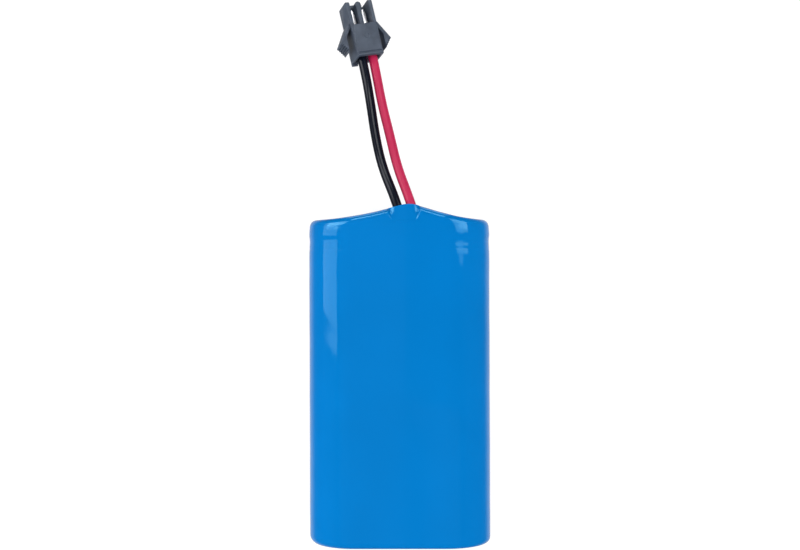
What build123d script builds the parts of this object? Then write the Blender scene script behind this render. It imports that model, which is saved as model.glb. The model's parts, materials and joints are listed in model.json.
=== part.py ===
"""Two-cell lithium-ion battery pack in a shrink sleeve, with two leads and a two-way plug.

The pack lies on one broad face. X runs across the two cells, Y along them toward the lead end, Z up.
The origin is under the middle of the sleeve. Units are millimetres.
"""

from build123d import *

import os
from math import pi, radians, tan

# Cells: the standard 18650 size, side by side, both with the positive end toward +Y
cell_spacing = 18.6
cell_length = 65.0
can_radius = 9.15
can_wall = 0.25
can_height = 64.1
can_base_round = 0.9
can_crimp_round = 0.4
wrapper_radius = 9.25
groove_height = 61.2
groove_depth = 1.0
groove_half = 0.7
groove_wall = 0.12
crimp_lip_radius = 7.7

# Shrink sleeve round both cells
film = 0.2
sleeve_radius = 9.55
sleeve_length = 67.3
sleeve_top_edge = 0.9
sleeve_bottom_edge = 1.5
sleeve_mouth_radius = 6.2
tent_height = 3.0
tent_slab = (18.8, 19.1)
tent_foot = 31.0
lead_gap = 6.4

# Heights along Y
sleeve_end = -(sleeve_length + tent_height) / 2
shoulder = sleeve_end + sleeve_length
end_board = 0.3
end_board_radius = 7.6
foam_pad = 0.9
foam_pad_radius = 8.2
strip_thickness = 0.15
wrapper_lip = 0.1
cell_bottom = sleeve_end + film + end_board + foam_pad + strip_thickness + wrapper_lip
cell_top = cell_bottom + cell_length
axis_z = sleeve_radius

# Jelly roll inside each can: four foils wound together, thicker and with fewer turns than the real foils
roll_start = 2.0
roll_pitch = 0.8
roll_turns = 7
foil = 0.18
foil_step = roll_pitch / 4

# Circuit board in the valley between the cells, under the sleeve's upper face
board_size = (5.4, 30.0, 0.8)
board_bottom = 16.2
board_top = board_bottom + board_size[2]
board_far_end = 18.2
board_near_end = board_far_end - board_size[1]

# Leads
jacket_diameter = 1.95
core_diameter = 0.76
core_gap = 0.02
core_bare_start = 3.4
core_bare_end = 1.6
black_route = [
    (-1.25, 18.6, 17.5),
    (-0.3, 24.2, 17.45),
    (1.05, 30.2, 17.7),
    (-0.8, 36.3, 17.3),
    (-3.45, 42.9, 14.9),
    (-4.95, 49.9, 11.4),
    (-5.9, 56.7, 8.3),
    (-7.02, 63.42, 6.33),
    (-8.33, 69.21, 5.49),
]
red_route = [
    (1.25, 18.6, 17.5),
    (2.2, 24.2, 17.45),
    (3.1, 30.2, 17.75),
    (2.4, 36.3, 17.3),
    (-0.35, 42.9, 14.9),
    (-1.9, 49.9, 11.4),
    (-3.55, 56.7, 8.3),
    (-4.82, 63.84, 5.52),
    (-6.02, 69.62, 4.68),
]

# Plug housing, in its own axes: x across the two ways, y toward the mating end, z toward its front
plug_rotation = Rotation(0, 0, 12.8) * Rotation(-8, 0, 0) * Rotation(0, 19, 0)
plug_frame = Pos(-5.67, 67.22, 8.3) * plug_rotation
plug_plane = Plane(plug_frame)
pitch = 2.5
plug_half_width = 2.85
plug_depth = 6.0
block_length = 7.0
side_length = 12.3
tongue_length = 13.0
shroud_wall = 0.7
rib_width = 1.0
rib_head = 0.65
rib_front = 1.3
front_step = 0.35
bay_size = (4.7, 1.5, 3.9)
foot_size = (1.3, 0.45, 0.7)
channel = 2.25
channel_length = 6.2
channel_depth = 3.0
terminal_floor = 1.12
terminal_sheet = 0.13
terminal_box = 2.0
crimp_radius = 1.02
pin_width = 0.9
pin_thickness = 0.8
pin_tip = 10.9

# Squeeze levers on the plug's two sides
lever_axis = (2.95, 7.0)
lever_knuckle = 0.5
lever_clearance = 0.06
lever_low = -5.1
grip_grooves = 4
groove_radius = 0.15
lever_high = -1.3

os.makedirs("parts", exist_ok=True)


def save(piece, label):
    """Name a finished piece and write its STEP file."""
    piece.label = label
    export_step(piece, f"parts/{label}.step")


def end_plane(x, height, base=cell_bottom):
    """A plane across a cell's axis, facing the lead end, at a height above the base."""
    return Plane(origin=(x, base + height, axis_z), x_dir=(1, 0, 0), z_dir=(0, 1, 0))


def disc(x, low, high, outer, inner=0.0):
    """A disc or a ring on a cell's axis between two heights."""
    with BuildPart() as piece:
        with BuildSketch(end_plane(x, low)):
            Circle(outer)
            if inner:
                Circle(inner, mode=Mode.SUBTRACT)
        extrude(amount=high - low)
    return piece.part


def turned(x, outline, rounded=False):
    """A piece turned about a cell's axis from its half outline of (radius, height) points."""
    with BuildPart() as piece:
        with BuildSketch(Plane(origin=(x, cell_bottom, axis_z), x_dir=(1, 0, 0), z_dir=(0, 0, 1))):
            with BuildLine():
                Polyline(*outline, close=True)
            make_face()
        revolve(axis=Axis((x, cell_bottom, axis_z), (0, 1, 0)))
        if rounded:
            for end, radius in ((0, can_base_round), (-1, can_crimp_round)):
                circles = piece.edges().filter_by(GeomType.CIRCLE)
                rims = circles.filter_by(lambda e: e.radius > can_radius - 0.01)
                fillet(rims.group_by(Axis.Y)[end], radius)
    return piece.part


def band(x, offset, low, high):
    """One wound foil: a spiral of half circles about two centres, extruded along the cell."""
    centres = (-roll_pitch / 4, roll_pitch / 4)
    with BuildPart() as piece:
        with BuildSketch(end_plane(x, low)):
            with BuildLine():
                for inner in (roll_start + offset, roll_start + offset + foil):
                    for turn in range(2 * roll_turns):
                        radius = inner + turn * roll_pitch / 2
                        CenterArc((centres[turn % 2], 0), radius, 180 * (turn % 2), 180)
                    last = inner + roll_turns * roll_pitch
                first = roll_start + offset + centres[0]
                Line((first, 0), (first + foil, 0))
                Line((last - foil + centres[0], 0), (last + centres[0], 0))
            make_face()
        extrude(amount=high - low)
    return piece.part


def block(centre, size):
    """A plain box in the pack's own axes."""
    with BuildPart() as piece:
        with Locations(centre):
            Box(*size)
    return piece.part


def make_cell(side, x):
    """Every separate piece of one cell."""
    outer, inner, lip = can_radius, can_radius - can_wall, crimp_lip_radius
    dip, half = groove_depth, groove_half
    can_outline = [
        (0, 0),
        (outer, 0),
        (outer, groove_height - half),
        (outer - dip, groove_height - half / 2),
        (outer - dip, groove_height + half / 2),
        (outer, groove_height + half),
        (outer, can_height),
        (lip, can_height),
        (lip, can_height - can_wall),
        (inner, can_height - can_wall),
        (inner, groove_height + half + groove_wall),
        (inner - dip, groove_height + half / 2 + groove_wall),
        (inner - dip, groove_height - half / 2 - groove_wall),
        (inner, groove_height - half - groove_wall),
        (inner, 0.9),
        (inner - 0.6, 0.3),
        (0, 0.3),
    ]
    save(turned(x, can_outline, rounded=True), f"cell_{side}_can")

    save(disc(x, 0.32, 0.5, 8.1, 1.5), f"cell_{side}_bottom_insulator")
    save(disc(x, 0.95, 58.9, 1.7, 1.45), f"cell_{side}_centre_tube")
    save(band(x, 0, 1.2, 58.6), f"cell_{side}_anode_foil")
    save(band(x, 2 * foil_step, 1.6, 58.2), f"cell_{side}_cathode_foil")
    with BuildPart() as separators:
        add(band(x, foil_step, 0.9, 59.0))
        add(band(x, 3 * foil_step, 0.9, 59.0))
    save(separators.part, f"cell_{side}_separators")

    anode_x = x + roll_start + 5 * roll_pitch + foil / 2 - roll_pitch / 4
    with BuildPart() as anode_tab:
        with Locations((x + 3.4, cell_bottom + 0.58, axis_z)):
            Box(8.0, 0.12, 2.0)
        with Locations((anode_x, cell_bottom + 0.9, axis_z)):
            Box(0.12, 0.58, 0.7)
    save(anode_tab.part, f"cell_{side}_anode_tab")

    cathode_x = x + roll_start + 2 * roll_pitch + 2 * foil_step + foil / 2 - roll_pitch / 4
    save(block((cathode_x, cell_bottom + 60.3, axis_z), (0.12, 4.18, 0.7)), f"cell_{side}_cathode_tab")
    with BuildPart() as top_insulator:
        with BuildSketch(end_plane(x, 59.1)):
            Circle(8.6)
            Circle(1.5, mode=Mode.SUBTRACT)
            with Locations((cathode_x - x, 0)):
                Rectangle(0.5, 1.2, mode=Mode.SUBTRACT)
        extrude(amount=0.2)
    save(top_insulator.part, f"cell_{side}_top_insulator")

    gasket_outer = inner - 0.03
    gasket_outline = [
        (7.3, 62.15),
        (gasket_outer, 62.15),
        (gasket_outer, can_height - can_wall - 0.02),
        (7.3, can_height - can_wall - 0.02),
        (7.3, 63.55),
        (gasket_outer - 0.3, 63.55),
        (gasket_outer - 0.3, 62.38),
        (7.3, 62.38),
    ]
    save(turned(x, gasket_outline), f"cell_{side}_gasket")

    vent_outline = [
        (0, 62.6),
        (3.0, 62.6),
        (3.4, 62.4),
        (8.4, 62.4),
        (8.4, 62.7),
        (3.5, 62.7),
        (3.1, 62.85),
        (0, 62.85),
    ]
    save(turned(x, vent_outline), f"cell_{side}_vent_disc")
    save(disc(x, 62.72, 63.08, 8.4, 6.0), f"cell_{side}_current_limiter")
    cap_outline = [
        (0, 64.7),
        (2.9, 64.7),
        (3.3, 63.1),
        (8.4, 63.1),
        (8.4, 63.5),
        (3.7, 63.5),
        (3.2, cell_length),
        (0, cell_length),
    ]
    with BuildPart() as cap:
        add(turned(x, cap_outline))
        with BuildSketch(end_plane(x, 64.1)):
            with PolarLocations(3.35, 3, start_angle=30):
                Rectangle(1.4, 1.0)
        extrude(amount=-0.55, mode=Mode.SUBTRACT)
    save(cap.part, f"cell_{side}_cap")

    save(disc(x, can_height + 0.01, can_height + 0.2, 8.6, 3.9), f"cell_{side}_ring_washer")
    skin, shell = wrapper_radius, can_radius + 0.01
    wrapper_outline = [
        (6.5, -wrapper_lip),
        (skin - 0.5, -wrapper_lip),
        (skin, 0.5 - wrapper_lip),
        (skin, groove_height - 0.6),
        (skin - 0.3, groove_height),
        (skin, groove_height + 0.6),
        (skin, can_height + 0.31),
        (7.0, can_height + 0.31),
        (7.0, can_height + 0.22),
        (shell, can_height + 0.22),
        (shell, groove_height + 0.6),
        (shell - 0.3, groove_height),
        (shell, groove_height - 0.6),
        (shell, 0.44),
        (shell - 0.45, -0.01),
        (6.5, -0.01),
    ]
    save(turned(x, wrapper_outline), f"cell_{side}_wrapper")


for side, x in (("left", -cell_spacing / 2), ("right", cell_spacing / 2)):
    make_cell(side, x)


# Hot-melt beads that hold the two cells together, in the lower valley
with BuildPart() as adhesive:
    for start, length in ((-22.0, 16.0), (6.0, 16.0)):
        with BuildSketch(Plane(origin=(0, start, axis_z), x_dir=(1, 0, 0), z_dir=(0, 1, 0))):
            with Locations((0, 7.7)):
                Rectangle(5.6, 2.4)
            with Locations((-cell_spacing / 2, 0), (cell_spacing / 2, 0)):
                Circle(wrapper_radius + 0.02, mode=Mode.SUBTRACT)
        extrude(amount=length)
save(adhesive.part, "cell_adhesive")


# Nickel strips: one joins the two caps, one the two can bottoms, and each has a riser to the board
strip_size = (cell_spacing + 5.0, strip_thickness, 6.0)
weld_radius = 2.4
riser_width = 4.0
riser_z = (15.9, 16.05)
riser_board_end = 15.5
strip_y = cell_top
with BuildPart() as positive_strip:
    with Locations((0, strip_y + strip_thickness / 2, axis_z)):
        Box(*strip_size)
    with Locations((0, strip_y + strip_thickness / 2, (axis_z + riser_z[1]) / 2)):
        Box(riser_width, strip_thickness, riser_z[1] - axis_z)
    with Locations((0, (strip_y + riser_board_end) / 2, sum(riser_z) / 2)):
        Box(riser_width, strip_y - riser_board_end, riser_z[1] - riser_z[0])
save(positive_strip.part, "positive_strip")

strip_y = cell_bottom - wrapper_lip - strip_thickness
with BuildPart() as negative_strip:
    with Locations((0, strip_y + strip_thickness / 2, axis_z)):
        Box(*strip_size)
    with BuildSketch(end_plane(0, -wrapper_lip)):
        with Locations((-cell_spacing / 2, 0), (cell_spacing / 2, 0)):
            Circle(weld_radius)
    extrude(amount=wrapper_lip)
    with Locations((0, strip_y + strip_thickness / 2, (axis_z + riser_z[1]) / 2)):
        Box(riser_width, strip_thickness, riser_z[1] - axis_z)
save(negative_strip.part, "negative_strip")

riser_start = strip_y + strip_thickness
riser_end = board_near_end + 2.6
save(
    block((0, (riser_start + riser_end) / 2, sum(riser_z) / 2), (riser_width, riser_end - riser_start, 0.15)),
    "negative_riser",
)
save(
    block((0, (cell_bottom + 1 + board_far_end) / 2, 15.78), (4.4, board_far_end - cell_bottom - 1, 0.2)),
    "valley_insulation",
)


# Circuit board, its parts and its joints
board_middle = (board_near_end + board_far_end) / 2
with BuildPart() as board:
    with Locations((0, board_middle, (board_bottom + board_top) / 2)):
        Box(*board_size)
    fillet(board.edges().filter_by(Axis.Z), 0.4)
save(board.part, "circuit_board")

for label, y, size in (
    ("switch_chip", 2.0, (4.4, 3.0, 0.9)),
    ("protection_chip", -4.2, (2.9, 1.7, 0.9)),
    ("thermal_fuse", 8.6, (4.6, 5.2, 0.8)),
):
    with BuildPart() as chip:
        with Locations((0, y, board_top + 0.02 + size[2] / 2)):
            Box(*size)
        chamfer(chip.faces().sort_by(Axis.Z)[-1].edges(), 0.12)
    save(chip.part, label)
with BuildPart() as passives:
    for px, py in ((-1.6, -7.4), (1.6, -7.4), (0, -9.4)):
        with Locations((px, py, board_top + 0.27)):
            Box(1.0, 0.55, 0.5)
save(passives.part, "chip_resistors")

for label, y in (("solder_positive_strip", 16.6), ("solder_negative_strip", board_near_end + 1.3)):
    save(block((0, y, (riser_z[1] + board_bottom) / 2), (3.0, 1.8, board_bottom - riser_z[1])), label)


# An insulating board at each end, and a foam pad under the can bottoms
def end_pad(low, high, radius):
    """A pad over both cell ends between two places along Y."""
    with BuildPart() as pad:
        with BuildSketch(Plane(origin=(0, low, axis_z), x_dir=(1, 0, 0), z_dir=(0, 1, 0))):
            SlotCenterToCenter(cell_spacing, 2 * radius)
        extrude(amount=high - low)
    return pad.part


with BuildPart() as top_board:
    add(end_pad(shoulder - film - end_board, shoulder - film, end_board_radius))
    with Locations((1.5, shoulder, tent_slab[0] - 0.6)):
        Box(lead_gap, 2.0, 3.8, mode=Mode.SUBTRACT)
save(top_board.part, "end_board_top")
bottom_board_top = sleeve_end + film + end_board
save(end_pad(sleeve_end + film, bottom_board_top, end_board_radius), "end_board_bottom")
save(end_pad(bottom_board_top, strip_y, foam_pad_radius), "foam_pad")


# Shrink sleeve: a thin skin, open in the middle of both ends, pulled up over the leads as a tent
sleeve_edges = ((0, sleeve_bottom_edge), (-1, sleeve_top_edge))
with BuildPart() as sleeve_hollow:
    with BuildSketch(end_plane(0, film, sleeve_end)):
        SlotCenterToCenter(cell_spacing, 2 * (sleeve_radius - film))
    extrude(amount=sleeve_length - 2 * film)
    for end, edge in sleeve_edges:
        fillet(sleeve_hollow.faces().sort_by(Axis.Y)[end].edges(), edge - film)

with BuildPart() as sleeve:
    with BuildSketch(end_plane(0, 0, sleeve_end)):
        SlotCenterToCenter(cell_spacing, 2 * sleeve_radius)
    extrude(amount=sleeve_length)
    for end, edge in sleeve_edges:
        fillet(sleeve.faces().sort_by(Axis.Y)[end].edges(), edge)
    add(sleeve_hollow.part, mode=Mode.SUBTRACT)
    with BuildSketch(end_plane(0, -1, sleeve_end)):
        SlotCenterToCenter(cell_spacing, 2 * sleeve_mouth_radius)
    extrude(amount=sleeve_length + 2, mode=Mode.SUBTRACT)
    with Locations((1.5, shoulder, axis_z + 5.5)):
        Box(lead_gap, 3.6, 2 * (tent_slab[0] - axis_z - 5.5), mode=Mode.SUBTRACT)
    with BuildSketch(Plane.XY.offset(tent_slab[0])):
        with BuildLine():
            Polyline(
                (-13.5, tent_foot),
                (-13.5, shoulder + 0.1),
                (-7.6, shoulder + 0.8),
                (1.0, shoulder + tent_height),
                (3.2, shoulder + tent_height),
                (9.4, shoulder + 1.1),
                (14.5, shoulder + 0.2),
                (14.5, tent_foot),
                close=True,
            )
        make_face()
    extrude(amount=tent_slab[1] - tent_slab[0])
save(sleeve.part, "outer_sleeve")


# Leads: a jacket and a stranded core each, on one route
def corner_radii(points):
    """The largest arc that its two runs allow at each corner of a route."""
    corners = [Vector(*p) for p in points]
    radii = []
    for before, corner, after in zip(corners, corners[1:], corners[2:]):
        turn = (corner - before).get_angle(after - corner)
        shorter = min((corner - before).length, (after - corner).length)
        radii.append(0.45 * shorter / tan(radians(turn / 2)))
    return radii


def tube(points, radii, outer, inner=0.0):
    """A round tube or rod along a route of straight runs joined by arcs."""
    corners = [Vector(*p) for p in points]
    with BuildPart() as piece:
        with BuildLine() as line:
            FilletPolyline(*corners, radius=radii)
        with BuildSketch(Plane(origin=corners[0], z_dir=corners[1] - corners[0])):
            Circle(outer / 2)
            if inner:
                Circle(inner / 2, mode=Mode.SUBTRACT)
        sweep()
    length = sum(e.length for e in line.edges())
    section = pi * (outer**2 - inner**2) / 4
    print(
        "tube length", round(length, 2),
        "volume / section x length", round(piece.part.volume / (section * length), 4),
        "least radius", round(min(radii), 1),
    )
    return piece.part


def longer(points, start, end):
    """The same route with both ends drawn out along their own runs."""
    first, second = Vector(*points[0]), Vector(*points[1])
    last, before = Vector(*points[-1]), Vector(*points[-2])
    drawn_first = first - (second - first).normalized() * start
    drawn_last = last + (last - before).normalized() * end
    return [tuple(drawn_first), *points[1:-1], tuple(drawn_last)]


for name, route in (("black", black_route), ("red", red_route)):
    radii = corner_radii(route)
    save(tube(route, radii, jacket_diameter, core_diameter + 2 * core_gap), f"lead_{name}_jacket")
    core_route = longer(route, core_bare_start, core_bare_end)
    save(tube(core_route, radii, core_diameter), f"lead_{name}_core")

    first, second = Vector(*route[0]), Vector(*route[1])
    along = (second - first).normalized()
    joint_plane = Plane(origin=first - along * (core_bare_start - 0.4), z_dir=along)
    with BuildPart() as solder:
        with Locations((first.X - along.X * 2, first.Y - along.Y * 2 + 0.1, board_top + 0.45)):
            Box(1.7, 2.2, 0.86)
        chamfer(solder.faces().sort_by(Axis.Z)[-1].edges(), 0.35)
        with BuildSketch(joint_plane.offset(-2)):
            Circle(core_diameter / 2 + core_gap)
        extrude(amount=8, mode=Mode.SUBTRACT)
    save(solder.part, f"solder_{name}")


# Plug housing: a block with two terminal channels, and an open-fronted shroud round the pins
def side_wall_plane(x):
    """A plane along one side of the plug, x toward the mating end and y toward the front."""
    return Plane(
        origin=plug_plane.from_local_coords((x, 0, 0)), x_dir=plug_plane.y_dir, z_dir=plug_plane.x_dir
    )


way_offsets = (("black", -pitch / 2), ("red", pitch / 2))
lever_sides = (("left", -1), ("right", 1))
with BuildPart() as housing:
    with BuildSketch(plug_plane.offset(-plug_depth)):
        with Locations((0, block_length / 2)):
            Rectangle(2 * plug_half_width, block_length)
    extrude(amount=plug_depth - front_step)
    # Raised panel and collar on the front
    with BuildSketch(plug_plane.offset(-front_step)):
        with Locations((0, 0.25)):
            Rectangle(2 * plug_half_width, 0.5)
        with Locations((0, (0.75 + block_length) / 2)):
            Rectangle(2 * plug_half_width - 0.5, block_length - 0.75)
    extrude(amount=front_step, taper=12)
    # Back wall with its tongue, and its two feet at the wire end
    with BuildSketch(plug_plane.offset(-plug_depth)):
        with Locations((0, (block_length + side_length) / 2)):
            Rectangle(2 * plug_half_width, side_length - block_length)
        with Locations((0, (block_length + tongue_length) / 2)):
            Rectangle(2 * (plug_half_width - shroud_wall), tongue_length - block_length)
        for side in (-1, 1):
            with Locations((side * (plug_half_width - foot_size[0] / 2), -foot_size[1] / 2)):
                Rectangle(foot_size[0], foot_size[1])
    extrude(amount=shroud_wall)
    # Side walls, slanted at the mating end
    for edge in (-plug_half_width, plug_half_width - shroud_wall):
        with BuildSketch(side_wall_plane(edge)):
            with BuildLine():
                Polyline(
                    (block_length, -plug_depth),
                    (side_length, -plug_depth),
                    (side_length, -front_step - 0.8),
                    (side_length - 0.4, -front_step),
                    (block_length, -front_step),
                    close=True,
                )
            make_face()
        extrude(amount=shroud_wall)
    # Middle rib with a rounded head
    with BuildSketch(plug_plane.offset(-plug_depth)):
        rib_end = side_length - rib_head
        with Locations((0, (block_length + rib_end) / 2)):
            Rectangle(rib_width, rib_end - block_length)
        with Locations((0, rib_end)):
            Circle(rib_head)
    extrude(amount=plug_depth - rib_front)
    # Bay at the wire end, and for each way a terminal channel and a hole for its pin
    with BuildSketch(plug_plane.offset(-channel_depth - bay_size[2] / 2)):
        Rectangle(bay_size[0], 2 * bay_size[1])
    extrude(amount=bay_size[2], mode=Mode.SUBTRACT)
    for _, offset in way_offsets:
        with BuildSketch(plug_plane.offset(-channel_depth - channel / 2)):
            with Locations((offset, channel_length / 2)):
                Rectangle(channel, channel_length)
        extrude(amount=channel, mode=Mode.SUBTRACT)
        with BuildSketch(plug_plane.offset(-channel_depth - pin_thickness / 2 - 0.03)):
            with Locations((offset, block_length - 0.4)):
                Rectangle(pin_width + 0.06, 1.2)
        extrude(amount=pin_thickness + 0.06, mode=Mode.SUBTRACT)
    # Seats for the levers' knuckles
    with BuildSketch(plug_plane.offset(lever_low - 0.1)):
        for _, side in lever_sides:
            with Locations((side * lever_axis[0], lever_axis[1])):
                Circle(lever_knuckle + lever_clearance)
    extrude(amount=lever_high - lever_low + 0.2, mode=Mode.SUBTRACT)
save(housing.part, "plug_housing")


# Terminals: insulation crimp, conductor crimp, box and tapered pin
for name, offset in way_offsets:
    with BuildPart() as terminal:
        with BuildSketch(plug_plane.offset(-channel_depth - terminal_floor)):
            with Locations((offset, 3.8)):
                Rectangle(1.5, 4.6)
        extrude(amount=terminal_sheet)
        with BuildSketch(Plane(
            origin=plug_plane.from_local_coords((offset, 3.15, -channel_depth)),
            x_dir=plug_plane.x_dir,
            z_dir=plug_plane.y_dir,
        )):
            Circle(crimp_radius)
            Circle(core_diameter / 2 + core_gap, mode=Mode.SUBTRACT)
        extrude(amount=1.1)
        with BuildSketch(plug_plane.offset(-channel_depth - terminal_box / 2)):
            with Locations((offset, 5.35)):
                Rectangle(1.5, 1.5)
        extrude(amount=terminal_box)
        with BuildSketch(plug_plane.offset(-channel_depth - pin_thickness / 2)):
            with BuildLine():
                Polyline(
                    (offset - pin_width / 2, 6.0),
                    (offset - pin_width / 2, pin_tip - 1.2),
                    (offset - pin_width / 5, pin_tip),
                    (offset + pin_width / 5, pin_tip),
                    (offset + pin_width / 2, pin_tip - 1.2),
                    (offset + pin_width / 2, 6.0),
                    close=True,
                )
            make_face()
        extrude(amount=pin_thickness)
    save(terminal.part, f"terminal_{name}")


# Squeeze levers: a knuckle on each side of the plug, an arm and a ribbed thumb face
tip, heel, crook = (5.6, 3.5), (4.14, 1.5), (4.1, 4.7)
for name, side in lever_sides:
    with BuildPart() as lever:
        with BuildSketch(plug_plane.offset(lever_low)):
            with BuildLine():
                Polyline(
                    (side * (lever_axis[0] + 0.05), lever_axis[1] - 0.48),
                    (side * crook[0], crook[1]),
                    (side * heel[0], heel[1]),
                    (side * tip[0], tip[1]),
                    (side * (lever_axis[0] + 0.4), lever_axis[1] + 0.3),
                    close=True,
                )
            make_face()
            with Locations((side * lever_axis[0], lever_axis[1])):
                Circle(lever_knuckle)
        extrude(amount=lever_high - lever_low)
        with BuildSketch(plug_plane.offset(lever_low)):
            for groove in range(1, grip_grooves + 1):
                share = groove / (grip_grooves + 1)
                u = heel[0] + share * (tip[0] - heel[0])
                v = heel[1] + share * (tip[1] - heel[1])
                with Locations((side * u, v)):
                    Circle(groove_radius)
        extrude(amount=lever_high - lever_low, mode=Mode.SUBTRACT)
    save(lever.part, f"squeeze_lever_{name}")
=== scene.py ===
"""Looks of a two-cell battery pack in a blue shrink sleeve, with two leads and a two-way plug."""

import json
from math import atan2, cos, exp, pi, radians, sin, sqrt

import bmesh
import bpy
from mathutils import Matrix, Vector


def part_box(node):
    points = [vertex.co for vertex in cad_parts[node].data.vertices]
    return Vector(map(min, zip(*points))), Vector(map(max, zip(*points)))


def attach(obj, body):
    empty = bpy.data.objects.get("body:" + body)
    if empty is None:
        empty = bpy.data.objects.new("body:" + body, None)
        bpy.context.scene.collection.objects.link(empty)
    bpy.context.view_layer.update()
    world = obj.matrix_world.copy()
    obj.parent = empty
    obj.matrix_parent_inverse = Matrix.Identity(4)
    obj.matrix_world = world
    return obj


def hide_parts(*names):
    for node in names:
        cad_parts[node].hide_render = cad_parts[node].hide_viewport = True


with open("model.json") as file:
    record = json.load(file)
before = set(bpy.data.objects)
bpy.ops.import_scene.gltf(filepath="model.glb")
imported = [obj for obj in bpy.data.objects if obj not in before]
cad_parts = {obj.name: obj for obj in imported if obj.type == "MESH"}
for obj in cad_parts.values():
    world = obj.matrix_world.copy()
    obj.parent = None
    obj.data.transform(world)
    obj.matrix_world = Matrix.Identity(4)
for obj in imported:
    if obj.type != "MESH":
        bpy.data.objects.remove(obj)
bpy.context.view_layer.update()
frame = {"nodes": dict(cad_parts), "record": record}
MM = 0.001
scene = bpy.context.scene
scene.view_settings.view_transform = "Standard"


# ---------------------------------------------------------------- camera, floor and light
camera_place = Vector((0.14, 20.7, 309.45)) * MM
camera_lens = 64.44
camera_roll = radians(-0.2)
floor_size, floor_drop = 6.0, 0.0002
floor_grey, floor_glow = 0.25, 0.85

# The surround's level against a direction's height, which runs from 0 straight down to 1 straight up.
surround = (
    (0.05, 0.7),
    (0.13, 0.6),
    (0.25, 0.1),
    (0.38, 0.05),
    (0.55, 0.05),
    (0.84, 0.05),
    (0.9, 0.0),
    (1.0, 0.0),
)


def add_camera():
    """Straight above the pack, with the picture's top toward the leads."""
    data = bpy.data.cameras.new("camera")
    data.sensor_fit = "HORIZONTAL"
    data.sensor_width = 36.0
    data.lens = camera_lens
    data.clip_start = 0.01
    camera = bpy.data.objects.new("camera", data)
    camera.location = camera_place
    camera.rotation_euler = (0, 0, camera_roll)
    scene.collection.objects.link(camera)
    scene.camera = camera


def add_floor():
    """A pale floor with a glow of its own, which nothing mirrors."""
    bpy.ops.mesh.primitive_plane_add(size=floor_size, location=(0, 0, -floor_drop))
    floor = bpy.context.object
    floor.name = "floor"
    material = bpy.data.materials.new("floor")
    material.use_nodes = True
    shader = material.node_tree.nodes["Principled BSDF"]
    shader.inputs["Base Color"].default_value = (floor_grey, floor_grey, floor_grey, 1)
    shader.inputs["Emission Color"].default_value = (1, 1, 1, 1)
    shader.inputs["Emission Strength"].default_value = floor_glow
    shader.inputs["Roughness"].default_value = 1.0
    shader.inputs["Specular IOR Level"].default_value = 0.0
    floor.data.materials.append(material)
    floor.visible_glossy = False


def add_panel(name, angles, span, radiance, side="x", twist=0.0, distance=0.6, mirrored=True):
    """A light panel that faces the pack, at a distance in metres.

    angles are its two edges from straight above, in degrees, leaning over to +X, or to +Y where side
    is "y". span is its two edges along the other direction, in metres. twist turns it in its own
    plane, in degrees. A mirrored panel only shows as a highlight, and any other only gives soft light.
    """
    middle, along = radians(sum(angles) / 2), sum(span) / 2
    data = bpy.data.lights.new(name, "AREA")
    data.shape = "RECTANGLE"
    data.size = 2 * distance * sin(radians(angles[1] - angles[0]) / 2)
    data.size_y = span[1] - span[0]
    data.energy = radiance * pi * data.size * data.size_y
    light = bpy.data.objects.new(name, data)
    quarter = Matrix.Rotation(pi / 2 if side == "y" else 0, 4, "Z")
    light.location = quarter @ Vector((distance * sin(middle), along, distance * cos(middle)))
    facing = quarter @ Matrix.Rotation(middle, 4, "Y") @ Matrix.Rotation(radians(twist), 4, "Z")
    light.rotation_euler = facing.to_euler()
    light.visible_glossy = mirrored
    light.visible_diffuse = not mirrored
    scene.collection.objects.link(light)


def add_world():
    """A dark ceiling, dim walls, and a pale surround below that the film's edges mirror."""
    world = bpy.data.worlds.new("world")
    scene.world = world
    world.use_nodes = True
    nodes, links = world.node_tree.nodes, world.node_tree.links
    place = nodes.new("ShaderNodeTexCoord")
    split = nodes.new("ShaderNodeSeparateXYZ")
    height = nodes.new("ShaderNodeMapRange")
    height.inputs["From Min"].default_value = -1
    levels = nodes.new("ShaderNodeValToRGB")
    stops = levels.color_ramp.elements
    for position, _ in surround[1:-1]:
        stops.new(position)
    for stop, (position, level) in zip(stops, surround):
        stop.position = position
        stop.color = (level, level, level, 1)
    links.new(place.outputs["Generated"], split.inputs["Vector"])
    links.new(split.outputs["Z"], height.inputs["Value"])
    links.new(height.outputs["Result"], levels.inputs["Fac"])
    links.new(levels.outputs["Color"], nodes["Background"].inputs["Color"])


# ---------------------------------------------------------------- node materials
display_gamma = 2.2
record_colour = {
    material["slot"]: tuple(channel ** display_gamma for channel in material["base_color"])
    for material in frame["record"]["materials"]
}
film_blue = (0.0008, 0.197, 0.59)
film_highlight = (0.35, 0.9, 1, 1)
jacket_black = (0.004, 0.006, 0.013)
jacket_red = (0.56, 0.02, 0.09)
nylon_grey = (0.06, 0.078, 0.112)


def new_material(name, colour, roughness, **sockets):
    """A principled material, with its plain values set on the shader's own sockets."""
    material = bpy.data.materials.new(name)
    material.use_nodes = True
    shader = material.node_tree.nodes["Principled BSDF"]
    shader.inputs["Base Color"].default_value = (*colour, 1)
    shader.inputs["Roughness"].default_value = roughness
    for socket, value in sockets.items():
        shader.inputs[socket.replace("_", " ")].default_value = value
    return material


def texture(material, kind, scale, stretch=(1, 1, 1)):
    """A texture node on the object's own coordinates, with its scale in features per metre."""
    nodes, links = material.node_tree.nodes, material.node_tree.links
    place = nodes.new("ShaderNodeTexCoord")
    mapping = nodes.new("ShaderNodeMapping")
    mapping.inputs["Scale"].default_value = stretch
    node = nodes.new(f"ShaderNodeTex{kind}")
    node.inputs["Scale"].default_value = scale
    links.new(place.outputs["Object"], mapping.inputs["Vector"])
    links.new(mapping.outputs["Vector"], node.inputs["Vector"])
    return node


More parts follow.
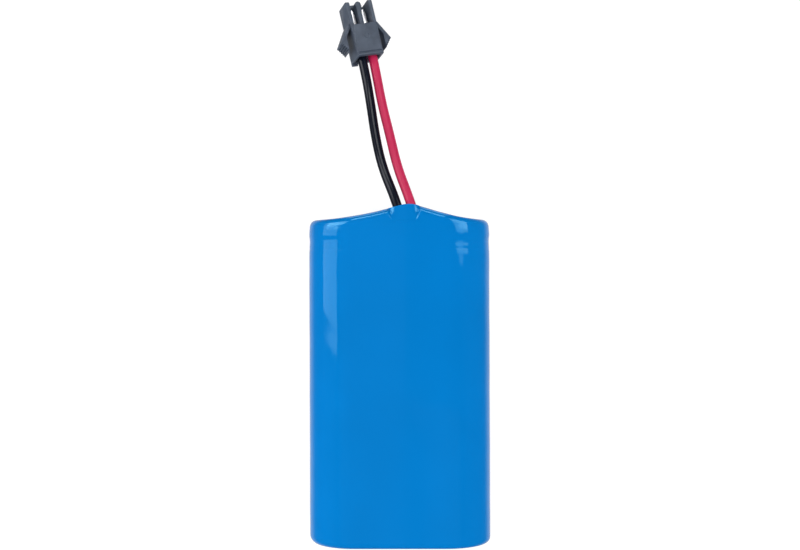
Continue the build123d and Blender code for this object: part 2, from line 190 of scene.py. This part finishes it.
def noise(material, scale, detail=3.0, stretch=(1, 1, 1)):
    """A noise texture's grey value."""
    node = texture(material, "Noise", scale, stretch)
    node.inputs["Detail"].default_value = detail
    return node.outputs["Fac"]


def waves(material, direction, scale, distortion):
    """The grey value of parallel bands across a direction."""
    node = texture(material, "Wave", scale)
    node.bands_direction = direction
    node.inputs["Distortion"].default_value = distortion
    return node.outputs["Fac"]


def ramp(material, source, low, high, places=(0.3, 0.7)):
    """A colour ramp between two colours."""
    node = material.node_tree.nodes.new("ShaderNodeValToRGB")
    for element, place, colour in zip(node.color_ramp.elements, places, (low, high)):
        element.position = place
        element.color = (*colour, 1)
    material.node_tree.links.new(source, node.inputs["Fac"])
    return node.outputs["Color"]


def vary_colour(material, source, low, high):
    """Base colour that follows a texture, between two colours."""
    shader = material.node_tree.nodes["Principled BSDF"]
    material.node_tree.links.new(ramp(material, source, low, high), shader.inputs["Base Color"])


def vary_roughness(material, source, low, high):
    """Roughness that follows a texture, between two values."""
    nodes, links = material.node_tree.nodes, material.node_tree.links
    node = nodes.new("ShaderNodeMapRange")
    node.inputs["To Min"].default_value = low
    node.inputs["To Max"].default_value = high
    links.new(source, node.inputs["Value"])
    links.new(node.outputs["Result"], nodes["Principled BSDF"].inputs["Roughness"])


def add_bump(material, source, height, strength=1.0):
    """Bump of a height in millimetres, on top of any bump there already."""
    nodes, links = material.node_tree.nodes, material.node_tree.links
    shader = nodes["Principled BSDF"]
    node = nodes.new("ShaderNodeBump")
    node.inputs["Strength"].default_value = strength
    node.inputs["Distance"].default_value = height * MM
    links.new(source, node.inputs["Height"])
    if shader.inputs["Normal"].links:
        links.new(shader.inputs["Normal"].links[0].from_socket, node.inputs["Normal"])
    links.new(node.outputs["Normal"], shader.inputs["Normal"])


def shade(colour, factor):
    """A colour made darker or lighter by a factor."""
    return tuple(min(1.0, c * factor) for c in colour)


def film_material():
    """Glossy blue shrink film: even colour, a faint orange peel and slightly uneven gloss."""
    material = new_material("sleeve_film", film_blue, 0.12, IOR=1.45, Specular_Tint=film_highlight)
    patches = noise(material, 60, 2.0)
    vary_colour(material, patches, shade(film_blue, 0.97), shade(film_blue, 1.03))
    vary_roughness(material, noise(material, 350, 4.0), 0.04, 0.08)
    add_bump(material, noise(material, 1400, 2.0), 0.006, 0.35)
    return material


def jacket_material(name, colour, gloss):
    """Soft wire insulation: a little uneven in colour and gloss, with a faint grain."""
    material = new_material(name, colour, gloss, IOR=1.24)
    vary_colour(material, noise(material, 250), shade(colour, 0.92), shade(colour, 1.06))
    vary_roughness(material, noise(material, 900, 4.0), gloss - 0.05, gloss + 0.08)
    add_bump(material, noise(material, 2500, 3.0), 0.01, 0.3)
    return material


def nylon_material():
    """Moulded dark nylon with a fine spark grain."""
    material = new_material("plug_nylon", nylon_grey, 0.5, IOR=1.35)
    patches = noise(material, 500, 4.0)
    vary_colour(material, patches, shade(nylon_grey, 0.85), shade(nylon_grey, 1.2))
    vary_roughness(material, noise(material, 3000, 2.0), 0.42, 0.58)
    add_bump(material, noise(material, 6000, 3.0), 0.012, 0.5)
    return material


def metal_material(slot, roughness, brushed=(1, 12, 1)):
    """Plated or drawn metal, with brush marks longer along one direction than across it."""
    colour = record_colour[slot]
    material = new_material(slot, colour, roughness, Metallic=1.0)
    brushing = noise(material, 2400, 4.0, tuple(1 / length for length in brushed))
    vary_colour(material, noise(material, 260), shade(colour, 0.88), shade(colour, 1.05))
    vary_roughness(material, brushing, roughness - 0.07, roughness + 0.1)
    add_bump(material, brushing, 0.004, 0.5)
    return material


def solder_material():
    """Bright solder with slow lumps and a frosted skin."""
    material = metal_material("solder", 0.25, (1, 1, 1))
    add_bump(material, noise(material, 1500, 1.0), 0.05, 0.6)
    return material


def strand_material():
    """Tinned strands twisted together: bands that run across the wire at a slant."""
    material = metal_material("tinned_copper", 0.3, (1, 1, 1))
    add_bump(material, waves(material, "DIAGONAL", 900, 0.5), 0.05, 0.8)
    return material


def paper_material():
    """Vulcanised insulating paper: long fibres lying both ways, darker in places."""
    colour = record_colour["insulating_paper"]
    material = new_material("insulating_paper", colour, 0.75)
    across = noise(material, 900, 5.0, (1, 1, 0.12))
    along = noise(material, 900, 5.0, (0.12, 1, 1))
    vary_colour(material, across, shade(colour, 0.78), shade(colour, 1.12))
    vary_roughness(material, along, 0.65, 0.85)
    add_bump(material, across, 0.02, 0.5)
    add_bump(material, along, 0.02, 0.5)
    return material


def coating_material(slot):
    """A dark electrode coating: close, matt and speckled."""
    colour = record_colour[slot]
    material = new_material(slot, colour, 0.8)
    grain = noise(material, 6000, 6.0)
    vary_colour(material, grain, shade(colour, 0.6), shade(colour, 1.5))
    vary_roughness(material, grain, 0.7, 0.9)
    add_bump(material, grain, 0.01, 0.6)
    return material


def foam_material():
    """Closed foam: small round bubbles with thin walls."""
    colour = record_colour["foam"]
    material = new_material("foam", colour, 0.9)
    bubbles = texture(material, "Voronoi", 2200).outputs["Distance"]
    vary_colour(material, bubbles, shade(colour, 1.5), shade(colour, 0.6))
    vary_roughness(material, noise(material, 1500), 0.82, 0.97)
    add_bump(material, bubbles, 0.12, 0.8)
    return material


def board_material():
    """Solder-masked laminate, with the glass weave just showing through."""
    colour = record_colour["board_laminate"]
    material = new_material("board_laminate", colour, 0.35)
    for direction in ("X", "Y"):
        add_bump(material, waves(material, direction, 400, 0.4), 0.01, 0.5)
    vary_colour(material, noise(material, 700), shade(colour, 0.85), shade(colour, 1.15))
    vary_roughness(material, noise(material, 1200), 0.28, 0.42)
    return material


def plastic_material(slot, roughness, grain=3000, depth=0.008):
    """Moulded or extruded plastic, resin or glue: slow colour drift and a surface grain."""
    colour = record_colour[slot]
    material = new_material(slot, colour, roughness)
    vary_colour(material, noise(material, 300), shade(colour, 0.9), shade(colour, 1.08))
    vary_roughness(material, noise(material, grain, 3.0), roughness - 0.08, roughness + 0.1)
    add_bump(material, noise(material, grain, 2.0), depth, 0.5)
    return material


def make_finishes():
    """One material for each of the record's slots."""
    return {
        "sleeve_film": film_material(),
        "black_jacket": jacket_material("black_jacket", jacket_black, 0.2),
        "red_jacket": jacket_material("red_jacket", jacket_red, 0.35),
        "plug_nylon": nylon_material(),
        "tin_plate": metal_material("tin_plate", 0.32),
        "can_steel": metal_material("can_steel", 0.28),
        "nickel": metal_material("nickel", 0.32, (12, 1, 1)),
        "aluminium_sheet": metal_material("aluminium_sheet", 0.3),
        "tinned_copper": strand_material(),
        "solder": solder_material(),
        "insulating_paper": paper_material(),
        "anode_coating": coating_material("anode_coating"),
        "cathode_coating": coating_material("cathode_coating"),
        "foam": foam_material(),
        "board_laminate": board_material(),
        "cell_wrap": plastic_material("cell_wrap", 0.18, 1400, 0.006),
        "separator_film": plastic_material("separator_film", 0.6),
        "clear_polymer": plastic_material("clear_polymer", 0.3),
        "carbon_polymer": plastic_material("carbon_polymer", 0.55),
        "hot_melt": plastic_material("hot_melt", 0.2, 500, 0.06),
        "chip_resin": plastic_material("chip_resin", 0.5, 5000, 0.01),
        "fuse_polymer": plastic_material("fuse_polymer", 0.4),
        "resistor_ceramic": plastic_material("resistor_ceramic", 0.45, 6000, 0.006),
    }


# ---------------------------------------------------------------- mesh helpers
def smooth(x):
    """A soft step from 0 to 1."""
    x = max(0.0, min(1.0, x))
    return x * x * (3 - 2 * x)


def soft_low(a, b, width):
    """The lower of two values, with the corner between them rounded over a width."""
    near = max(width - abs(a - b), 0.0) / width
    return min(a, b) - near * near * width / 4


def swell(distance, width):
    """A rounded swelling of height 1, which fades over a width."""
    return exp(-((distance / width) ** 2))


def mesh_from(name, points, faces):
    """A mesh from points in millimetres."""
    mesh = bpy.data.meshes.new(name)
    mesh.from_pydata([tuple(value * MM for value in point) for point in points], [], faces)
    return mesh


def new_piece(name, mesh, slot, body="pack"):
    """A smooth piece with a slot's finish, riding on a body."""
    mesh.materials.clear()
    mesh.materials.append(finishes[slot])
    piece = bpy.data.objects.new(name, mesh)
    scene.collection.objects.link(piece)
    mesh.shade_smooth()
    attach(piece, body)
    return piece


def apply_modifiers(piece, sharp=40):
    """Put the modifiers' result into the mesh. An edge that turns by more than sharp degrees stays sharp."""
    evaluated = piece.evaluated_get(bpy.context.evaluated_depsgraph_get())
    mesh = bpy.data.meshes.new_from_object(evaluated)
    piece.modifiers.clear()
    piece.data = mesh
    mesh.shade_smooth()
    mesh.set_sharp_from_angle(angle=radians(sharp))


# ---------------------------------------------------------------- shrink sleeve
sleeve_low, sleeve_high = (Vector(corner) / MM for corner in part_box("outer_sleeve"))
film_radius = (sleeve_high.z - sleeve_low.z) / 2
half_spacing = (sleeve_high.x - sleeve_low.x) / 2 - film_radius
axis_z = film_radius
film_thickness = 0.2
tent_top = 3.0
film_low, film_high = sleeve_low.y, sleeve_high.y - tent_top

# The folds' rounding, which at the lower end grows toward -X, and the lips' distance from the axis.
top_edge, bottom_edge = 1.35, 1.55
edge_lean = 0.3
lip_radius = 6.0
apex_lip_radius = 9.15
pucker_height, pucker_growth = 0.09, 1.2

# The tent's two slopes, by where each meets the shoulder and how steep it is.
tent_left, tent_left_slope = -10.8, 0.25
tent_right, tent_right_slope = 12.85, 0.305
tent_peak_round, tent_foot_round = 0.9, 1.8

# The stretch over the leads, and the cover at which the lip reaches the tent's outline. Away from the
# leads the lip follows the outline by a share, and on them the fold falls behind it by another.
cover_left, cover_left_width = -4.6, 3.8
cover_right, cover_right_width = 6.2, 3.2
cover_at_outline = 0.6
lip_follow, fold_behind = 0.2, 0.7

# Relief of the film: the cans' groove and the bead below it, the crown above, the leads' ridge, the slow
# waves' heights, and how quickly the relief of the sides and of the top face fades.
groove_y, groove_depth = 27.65, 0.12
groove_width_above, groove_width_below = 1.0, 1.6
bead_y, bead_depth, bead_width = 26.1, 0.03, 0.35
crown_from, crown_to, crown_slope, crown_round = 29.3, 31.3, 0.085, 0.6
ridge_x, ridge_height, ridge_width = 1.3, 0.10, 3.2
ridge_from, ridge_to, ridge_fade_low, ridge_fade_high = -14, 34, 14, 6
long_wave_height, short_wave_height = 0.012, 0.008
side_fade, top_fade = 0.34, 0.5

# Columns round the section: over the top face, round each side, and over the under face.
top_columns, side_columns, under_columns = 92, 64, 40
# Rows along the film: close together near the groove, wider below it, and along each end's fold.
fine_rows_low, fine_row_step = 25.6, 0.22
wide_rows = 56
fold_rows = 8
fold_clearance = 0.2


def section_columns():
    """Places round the film's section, as x of the point it turns about and angle outward from +Z."""
    columns = []
    for i in range(top_columns):
        columns.append((-half_spacing + 2 * half_spacing * i / top_columns, 0.0))
    for i in range(side_columns):
        columns.append((half_spacing, pi * i / side_columns))
    for i in range(under_columns):
        columns.append((half_spacing - 2 * half_spacing * i / under_columns, pi))
    for i in range(side_columns):
        columns.append((-half_spacing, pi + pi * i / side_columns))
    return columns


def tent_height(x):
    """How far the upper face stands beyond its shoulder: two slopes that meet over the leads."""
    left = tent_left_slope * (x - tent_left)
    right = tent_right_slope * (tent_right - x)
    peak = soft_low(left, right, tent_peak_round)
    return min(tent_top, -soft_low(-peak, 0.0, tent_foot_round))


def lead_cover(x):
    """1 where the film lies on the leads, falling to 0 beside them."""
    return smooth((x - cover_left) / cover_left_width) * smooth((cover_right - x) / cover_right_width)


def body_relief(angle, x, y):
    """The film's height over its plain section: the cans' groove, the leads' ridge and gentle waves."""
    on_side = smooth(abs(sin(angle)) / side_fade)
    on_top = smooth(cos(angle) / top_fade)
    groove = swell(y - groove_y, groove_width_above if y > groove_y else groove_width_below)
    bead = swell(y - bead_y, bead_width)
    crown = soft_low(crown_from - min(y, crown_to), 0.0, crown_round)
    over_leads = smooth((y - ridge_from) / ridge_fade_low) * smooth((ridge_to - y) / ridge_fade_high)
    ridge = ridge_height * on_top * over_leads * swell(x - ridge_x, ridge_width)
    long_wave = long_wave_height * sin(0.31 * y + 2.0 * angle) * sin(3.0 * angle + 0.4)
    short_wave = short_wave_height * sin(0.83 * y + 5.0 * angle)
    can = -groove_depth * groove - bead_depth * bead + crown_slope * crown
    return on_side * can + ridge + long_wave + short_wave


def pucker(angle, x):
    """Gathers of the shrunk end, from -1 to 1: three ripples of different lengths, added up."""
    along = angle * film_radius + x
    ripples = ((0.5, 2.1, 0.0), (0.3, 3.7, 1.0), (0.2, 6.1, 2.3))
    return sum(height * sin(pace * along + start) for height, pace, start in ripples)


def end_profile(edge, lip_r, lip_y, share, gather):
    """A point of a folded end: an arc of radius edge, and then a straight run to the lip.

    share runs from 0 at the lip through 1 at the arc's far end to 2 at the fold, and lip_y counts from
    the fold. The result is the distance from the section's axis and the distance beyond the fold.
    """
    centre = film_radius - edge
    reach = lip_r - centre
    run = sqrt(max(reach * reach + lip_y * lip_y - edge * edge, 0.0))
    turn = atan2(lip_y, reach) % (2 * pi) - atan2(run, edge)
    if share >= 1:
        part = turn * (2 - share)
        return centre + edge * cos(part), edge * sin(part)
    along = run * (1 - share)
    lift = pucker_height * gather * smooth(pucker_growth * (1 - share))
    r = centre + edge * cos(turn) - along * sin(turn) + lift * cos(turn)
    y = edge * sin(turn) + along * cos(turn) + lift * sin(turn)
    return r, y


def bottom_fold(x):
    """The lower fold's rounding at x."""
    return bottom_edge - edge_lean * x / (half_spacing + film_radius)


def fold_place(angle, foot):
    """A column's end over the leads: its fold's y, its lip's y and radius, and its lead cover.

    Beside the leads the film folds over at the tent's outline and its lip hangs back. On the leads the
    fold opens, and the lip itself is the outline.
    """
    x = foot + film_radius * sin(angle)
    height = tent_height(x) if cos(angle) > 0 else 0.0
    cover = lead_cover(x) if angle == 0 else 0.0
    opened = smooth((cover - cover_at_outline) / (1 - cover_at_outline))
    fold_y = film_high - top_edge + height * (1 - fold_behind * opened)
    lip_y = film_high + height * (lip_follow + (1 - lip_follow) * min(1.0, cover / cover_at_outline))
    lip_r = lip_radius + (apex_lip_radius - lip_radius) * cover
    return fold_y, lip_y, lip_r, cover


def film_rows():
    """Rows of the film from the upper lip to the lower one, as part and place on it."""
    rows = [("top", i / fold_rows) for i in range(2 * fold_rows)]
    high = film_high - top_edge
    fine_rows = round((high - fine_rows_low) / fine_row_step)
    rows += [("body", high - fine_row_step * i) for i in range(fine_rows)]
    middle = high - fine_row_step * fine_rows
    low = film_low + bottom_edge + edge_lean + fold_clearance
    rows += [("body", middle + (low - middle) * i / wide_rows) for i in range(wide_rows)]
    rows += [("bottom", 2 - i / fold_rows) for i in range(2 * fold_rows + 1)]
    return rows


def stretched(y, fold_y):
    """A row's y where the film above the crown's foot is pulled up to the fold."""
    if y <= crown_from:
        return y
    high = film_high - top_edge
    return y + (y - crown_from) * (fold_y - high) / (high - crown_from)


def film_point(part, place, foot, angle):
    """One point of the film, in millimetres."""
    x_top = foot + film_radius * sin(angle)
    gather = pucker(angle, foot)
    fold_y, lip_y, lip_r, cover = fold_place(angle, foot)
    if part == "top":
        r, beyond = end_profile(top_edge, lip_r, lip_y - fold_y, place, gather * (1 - cover))
        y = fold_y + beyond
        r += body_relief(angle, x_top, y) * smooth(place / 2)
    elif part == "bottom":
        edge = bottom_fold(x_top)
        r, beyond = end_profile(edge, lip_radius, edge, place, gather)
        y = film_low + edge - beyond
        r += body_relief(angle, x_top, y) * smooth(place - 1)
    else:
        y = stretched(place, fold_y)
        r = film_radius + body_relief(angle, x_top, y)
    return foot + r * sin(angle), y, axis_z + r * cos(angle)


def grid_faces(rows, columns, closed=False):
    """Faces between rows of points, where each row is a ring. closed joins the last row to the first."""
    faces = []
    for i in range(rows if closed else rows - 1):
        for j in range(columns):
            row, next_row = i * columns, (i + 1) % rows * columns
            next_column = (j + 1) % columns
            faces.append((row + j, next_row + j, next_row + next_column, row + next_column))
    return faces


def add_film():
    """The shrink sleeve: one skin, folded in at both ends and pulled up over the leads."""
    columns, rows = section_columns(), film_rows()
    points = [film_point(*row, *column) for row in rows for column in columns]
    mesh = mesh_from("sleeve_film", points, grid_faces(len(rows), len(columns)))
    piece = new_piece("sleeve_film", mesh, "sleeve_film")
    shell = piece.modifiers.new("shell", "SOLIDIFY")
    shell.thickness = film_thickness * MM
    shell.offset = -1
    apply_modifiers(piece)
    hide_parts("outer_sleeve")


# ---------------------------------------------------------------- leads
lead_diameter = 1.95

# The routes from the solder joints to the terminals, in millimetres.
black_route = [
    (-1.25, 18.6, 17.5),
    (-0.3, 24.2, 17.45),
    (1.05, 30.2, 17.7),
    (-0.8, 36.3, 17.3),
    (-3.45, 42.9, 14.9),
    (-4.95, 49.9, 11.4),
    (-5.9, 56.7, 8.3),
    (-7.02, 63.42, 6.33),
    (-8.33, 69.21, 5.49),
]
red_route = [
    (1.25, 18.6, 17.5),
    (2.2, 24.2, 17.45),
    (3.1, 30.2, 17.75),
    (2.95, 33.6, 17.7),
    (1.75, 37.2, 17.0),
    (-0.35, 42.9, 14.9),
    (-1.9, 49.9, 11.4),
    (-3.55, 56.7, 8.3),
    (-4.82, 63.84, 5.52),
    (-6.02, 69.62, 4.68),
]


def add_lead(name, route, with_pieces):
    """A lead as one smooth curve from its solder joint to its terminal."""
    curve = bpy.data.curves.new(f"lead_{name}", "CURVE")
    curve.dimensions = "3D"
    spline = curve.splines.new("NURBS")
    spline.points.add(len(route) - 1)
    for point, place in zip(spline.points, route):
        point.co = (*(value * MM for value in place), 1)
    spline.order_u = 3
    spline.use_endpoint_u = True
    spline.resolution_u = 16
    curve.bevel_depth = lead_diameter / 2 * MM
    curve.bevel_resolution = 8
    curve.use_fill_caps = True
    curve.materials.append(finishes[f"{name}_jacket"])
    piece = bpy.data.objects.new(f"lead_{name}", curve)
    scene.collection.objects.link(piece)
    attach(piece, "pack")
    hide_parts(f"lead_{name}_jacket")


# ---------------------------------------------------------------- plug
plug = (
    Matrix.Translation(Vector((-5.67, 67.22, 8.3)))
    @ Matrix.Rotation(radians(12.8), 4, "Z")
    @ Matrix.Rotation(radians(-8), 4, "X")
    @ Matrix.Rotation(radians(19), 4, "Y")
)
housing_rounding, lever_rounding, terminal_rounding = 0.08, 0.03, 0.05
sharp_angle = 35

# The right lever's thumb face in the plug's own frame, from heel to tip, and the grooves across it.
thumb_heel, thumb_tip = Vector((4.14, 1.5, 0)), Vector((5.6, 3.5, 0))
thumb_grooves = 4
groove_width, groove_cut = 0.24, 0.3
groove_low, groove_high = -4.75, 5.0

mark_place, mark_radius, mark_wire = Vector((-0.1, 4.3, 0)), 0.55, 0.1
mark_around, mark_section = 32, 8


def softened(node, name, body, width, cutter=None):
    """A piece with a CAD node's shape and rounded edges, which stands for the node.

    The rounding's width is in millimetres. A cutter's shape is taken away first.
    """
    shape = bmesh.new()
    shape.from_mesh(frame["nodes"][node].data)
    bmesh.ops.remove_doubles(shape, verts=shape.verts, dist=0.001 * MM)
    bmesh.ops.dissolve_limit(shape, angle_limit=radians(1), verts=shape.verts, edges=shape.edges)
    mesh = bpy.data.meshes.new(name)
    shape.to_mesh(mesh)
    shape.free()
    piece = new_piece(name, mesh, slot_of[node], body)
    if cutter:
        cut = piece.modifiers.new("cut", "BOOLEAN")
        cut.object = cutter
        cut.solver = "EXACT"
    bevel = piece.modifiers.new("edges", "BEVEL")
    bevel.width = width * MM
    bevel.segments = 2
    bevel.use_clamp_overlap = False
    bevel.limit_method = "ANGLE"
    bevel.angle_limit = radians(sharp_angle)
    apply_modifiers(piece, sharp=sharp_angle)
    if cutter:
        bpy.data.objects.remove(cutter)
    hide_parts(node)
    return piece.name


def groove_cutter(side):
    """Blades across a lever's thumb face, on the right where side is 1 and on the left where it is -1."""
    along = (thumb_tip - thumb_heel).normalized()
    inward = Vector((-along.y, along.x, 0))
    points, faces = [], []
    for i in range(1, thumb_grooves + 1):
        middle = thumb_heel.lerp(thumb_tip, i / (thumb_grooves + 1))
        first = len(points)
        for z in (groove_low, groove_high):
            for a, b in ((-1, -1), (1, -1), (1, 1), (-1, 1)):
                place = middle + along * a * groove_width / 2 + inward * b * groove_cut
                points.append(plug @ Vector((side * place.x, place.y, z)))
        low, high = range(first, first + 4), range(first + 4, first + 8)
        faces += [tuple(low), tuple(reversed(high))]
        faces += [(low[j], high[j], high[(j + 1) % 4], low[(j + 1) % 4]) for j in range(4)]
    mesh = mesh_from("blades", points, faces)
    shape = bmesh.new()
    shape.from_mesh(mesh)
    bmesh.ops.recalc_face_normals(shape, faces=shape.faces)
    shape.to_mesh(mesh)
    shape.free()
    cutter = bpy.data.objects.new("blades", mesh)
    scene.collection.objects.link(cutter)
    return cutter


def add_gate_mark():
    """The plain round mark that the mould's gate leaves on the plug's broad face."""
    points = []
    for i in range(mark_around):
        a = 2 * pi * i / mark_around
        for j in range(mark_section):
            b = 2 * pi * j / mark_section
            r = mark_radius + mark_wire * cos(b)
            ring = Vector((r * cos(a), r * sin(a), mark_wire * sin(b)))
            points.append(plug @ (mark_place + ring))
    mesh = mesh_from("gate_mark", points, grid_faces(mark_around, mark_section, closed=True))
    return new_piece("gate_mark", mesh, "plug_nylon").name


def add_terminal(name):
    """One lead's terminal, with its pin."""
    return softened(f"terminal_{name}", f"pin_{name}", "pack", terminal_rounding)


def add_lever(name, side):
    """A squeeze lever, with grooves across its thumb face."""
    node, piece, body = f"squeeze_lever_{name}", f"squeeze_arm_{name}", f"lever_{name}"
    return softened(node, piece, body, lever_rounding, groove_cutter(side))


def add_plug():
    """The plug's pieces, by name: its housing, the mark, the black lead's terminal and both levers."""
    housing = softened("plug_housing", "plug_body", "pack", housing_rounding)
    return [housing, add_gate_mark(), add_terminal("black"), add_lever("left", -1), add_lever("right", 1)]


# ---------------------------------------------------------------- the scene
add_camera()
add_floor()

# soft light
add_panel("overhead_fill", (-60, 60), (-0.7, 0.7), 1.65, distance=0.9, mirrored=False)
add_panel("left_fill", (-90, -45), (-0.7, 0.2), 2.35, distance=0.7, mirrored=False)
add_panel("right_fill", (50, 90), (-0.5, 0.5), 1.6, distance=0.7, mirrored=False)

# highlights
add_panel("left_panel", (-84, -42), (-0.016, 0.385), 2.3, twist=-3)
add_panel("ceiling_left", (-40, 1.5), (-0.6, 0.5), 0.12)
add_panel("ceiling_low", (0.4, 40), (-0.6, -0.06), 0.12)
add_panel("left_far_panel", (-74, -29), (0.13, 0.4), 6.0, distance=0.55)
add_panel("right_panel", (32, 62), (0.07, 0.35), 2.6)
add_panel("right_near_panel", (37, 48), (0.03, 0.069), 1.6)
add_panel("right_far_panel", (27, 62), (0.13, 0.4), 3.0, distance=0.55)
add_panel("back_panel", (45, 63), (-0.16, 0.16), 8.0, side="y")
add_panel("low_back_panel", (93, 122), (-0.2, 0.2), 2.5, side="y")
add_world()

finishes = make_finishes()
slot_of = {part["node"]: part["material_slot"] for part in frame["record"]["subparts"]}
for name, node in frame["nodes"].items():
    for slot in node.material_slots:
        slot.material = finishes[slot_of[name]]

add_film()
plug_pieces = add_plug()
add_lead("black", black_route, ["lead_black_core", *plug_pieces])
add_lead("red", red_route, ["lead_red_core", add_terminal("red")])
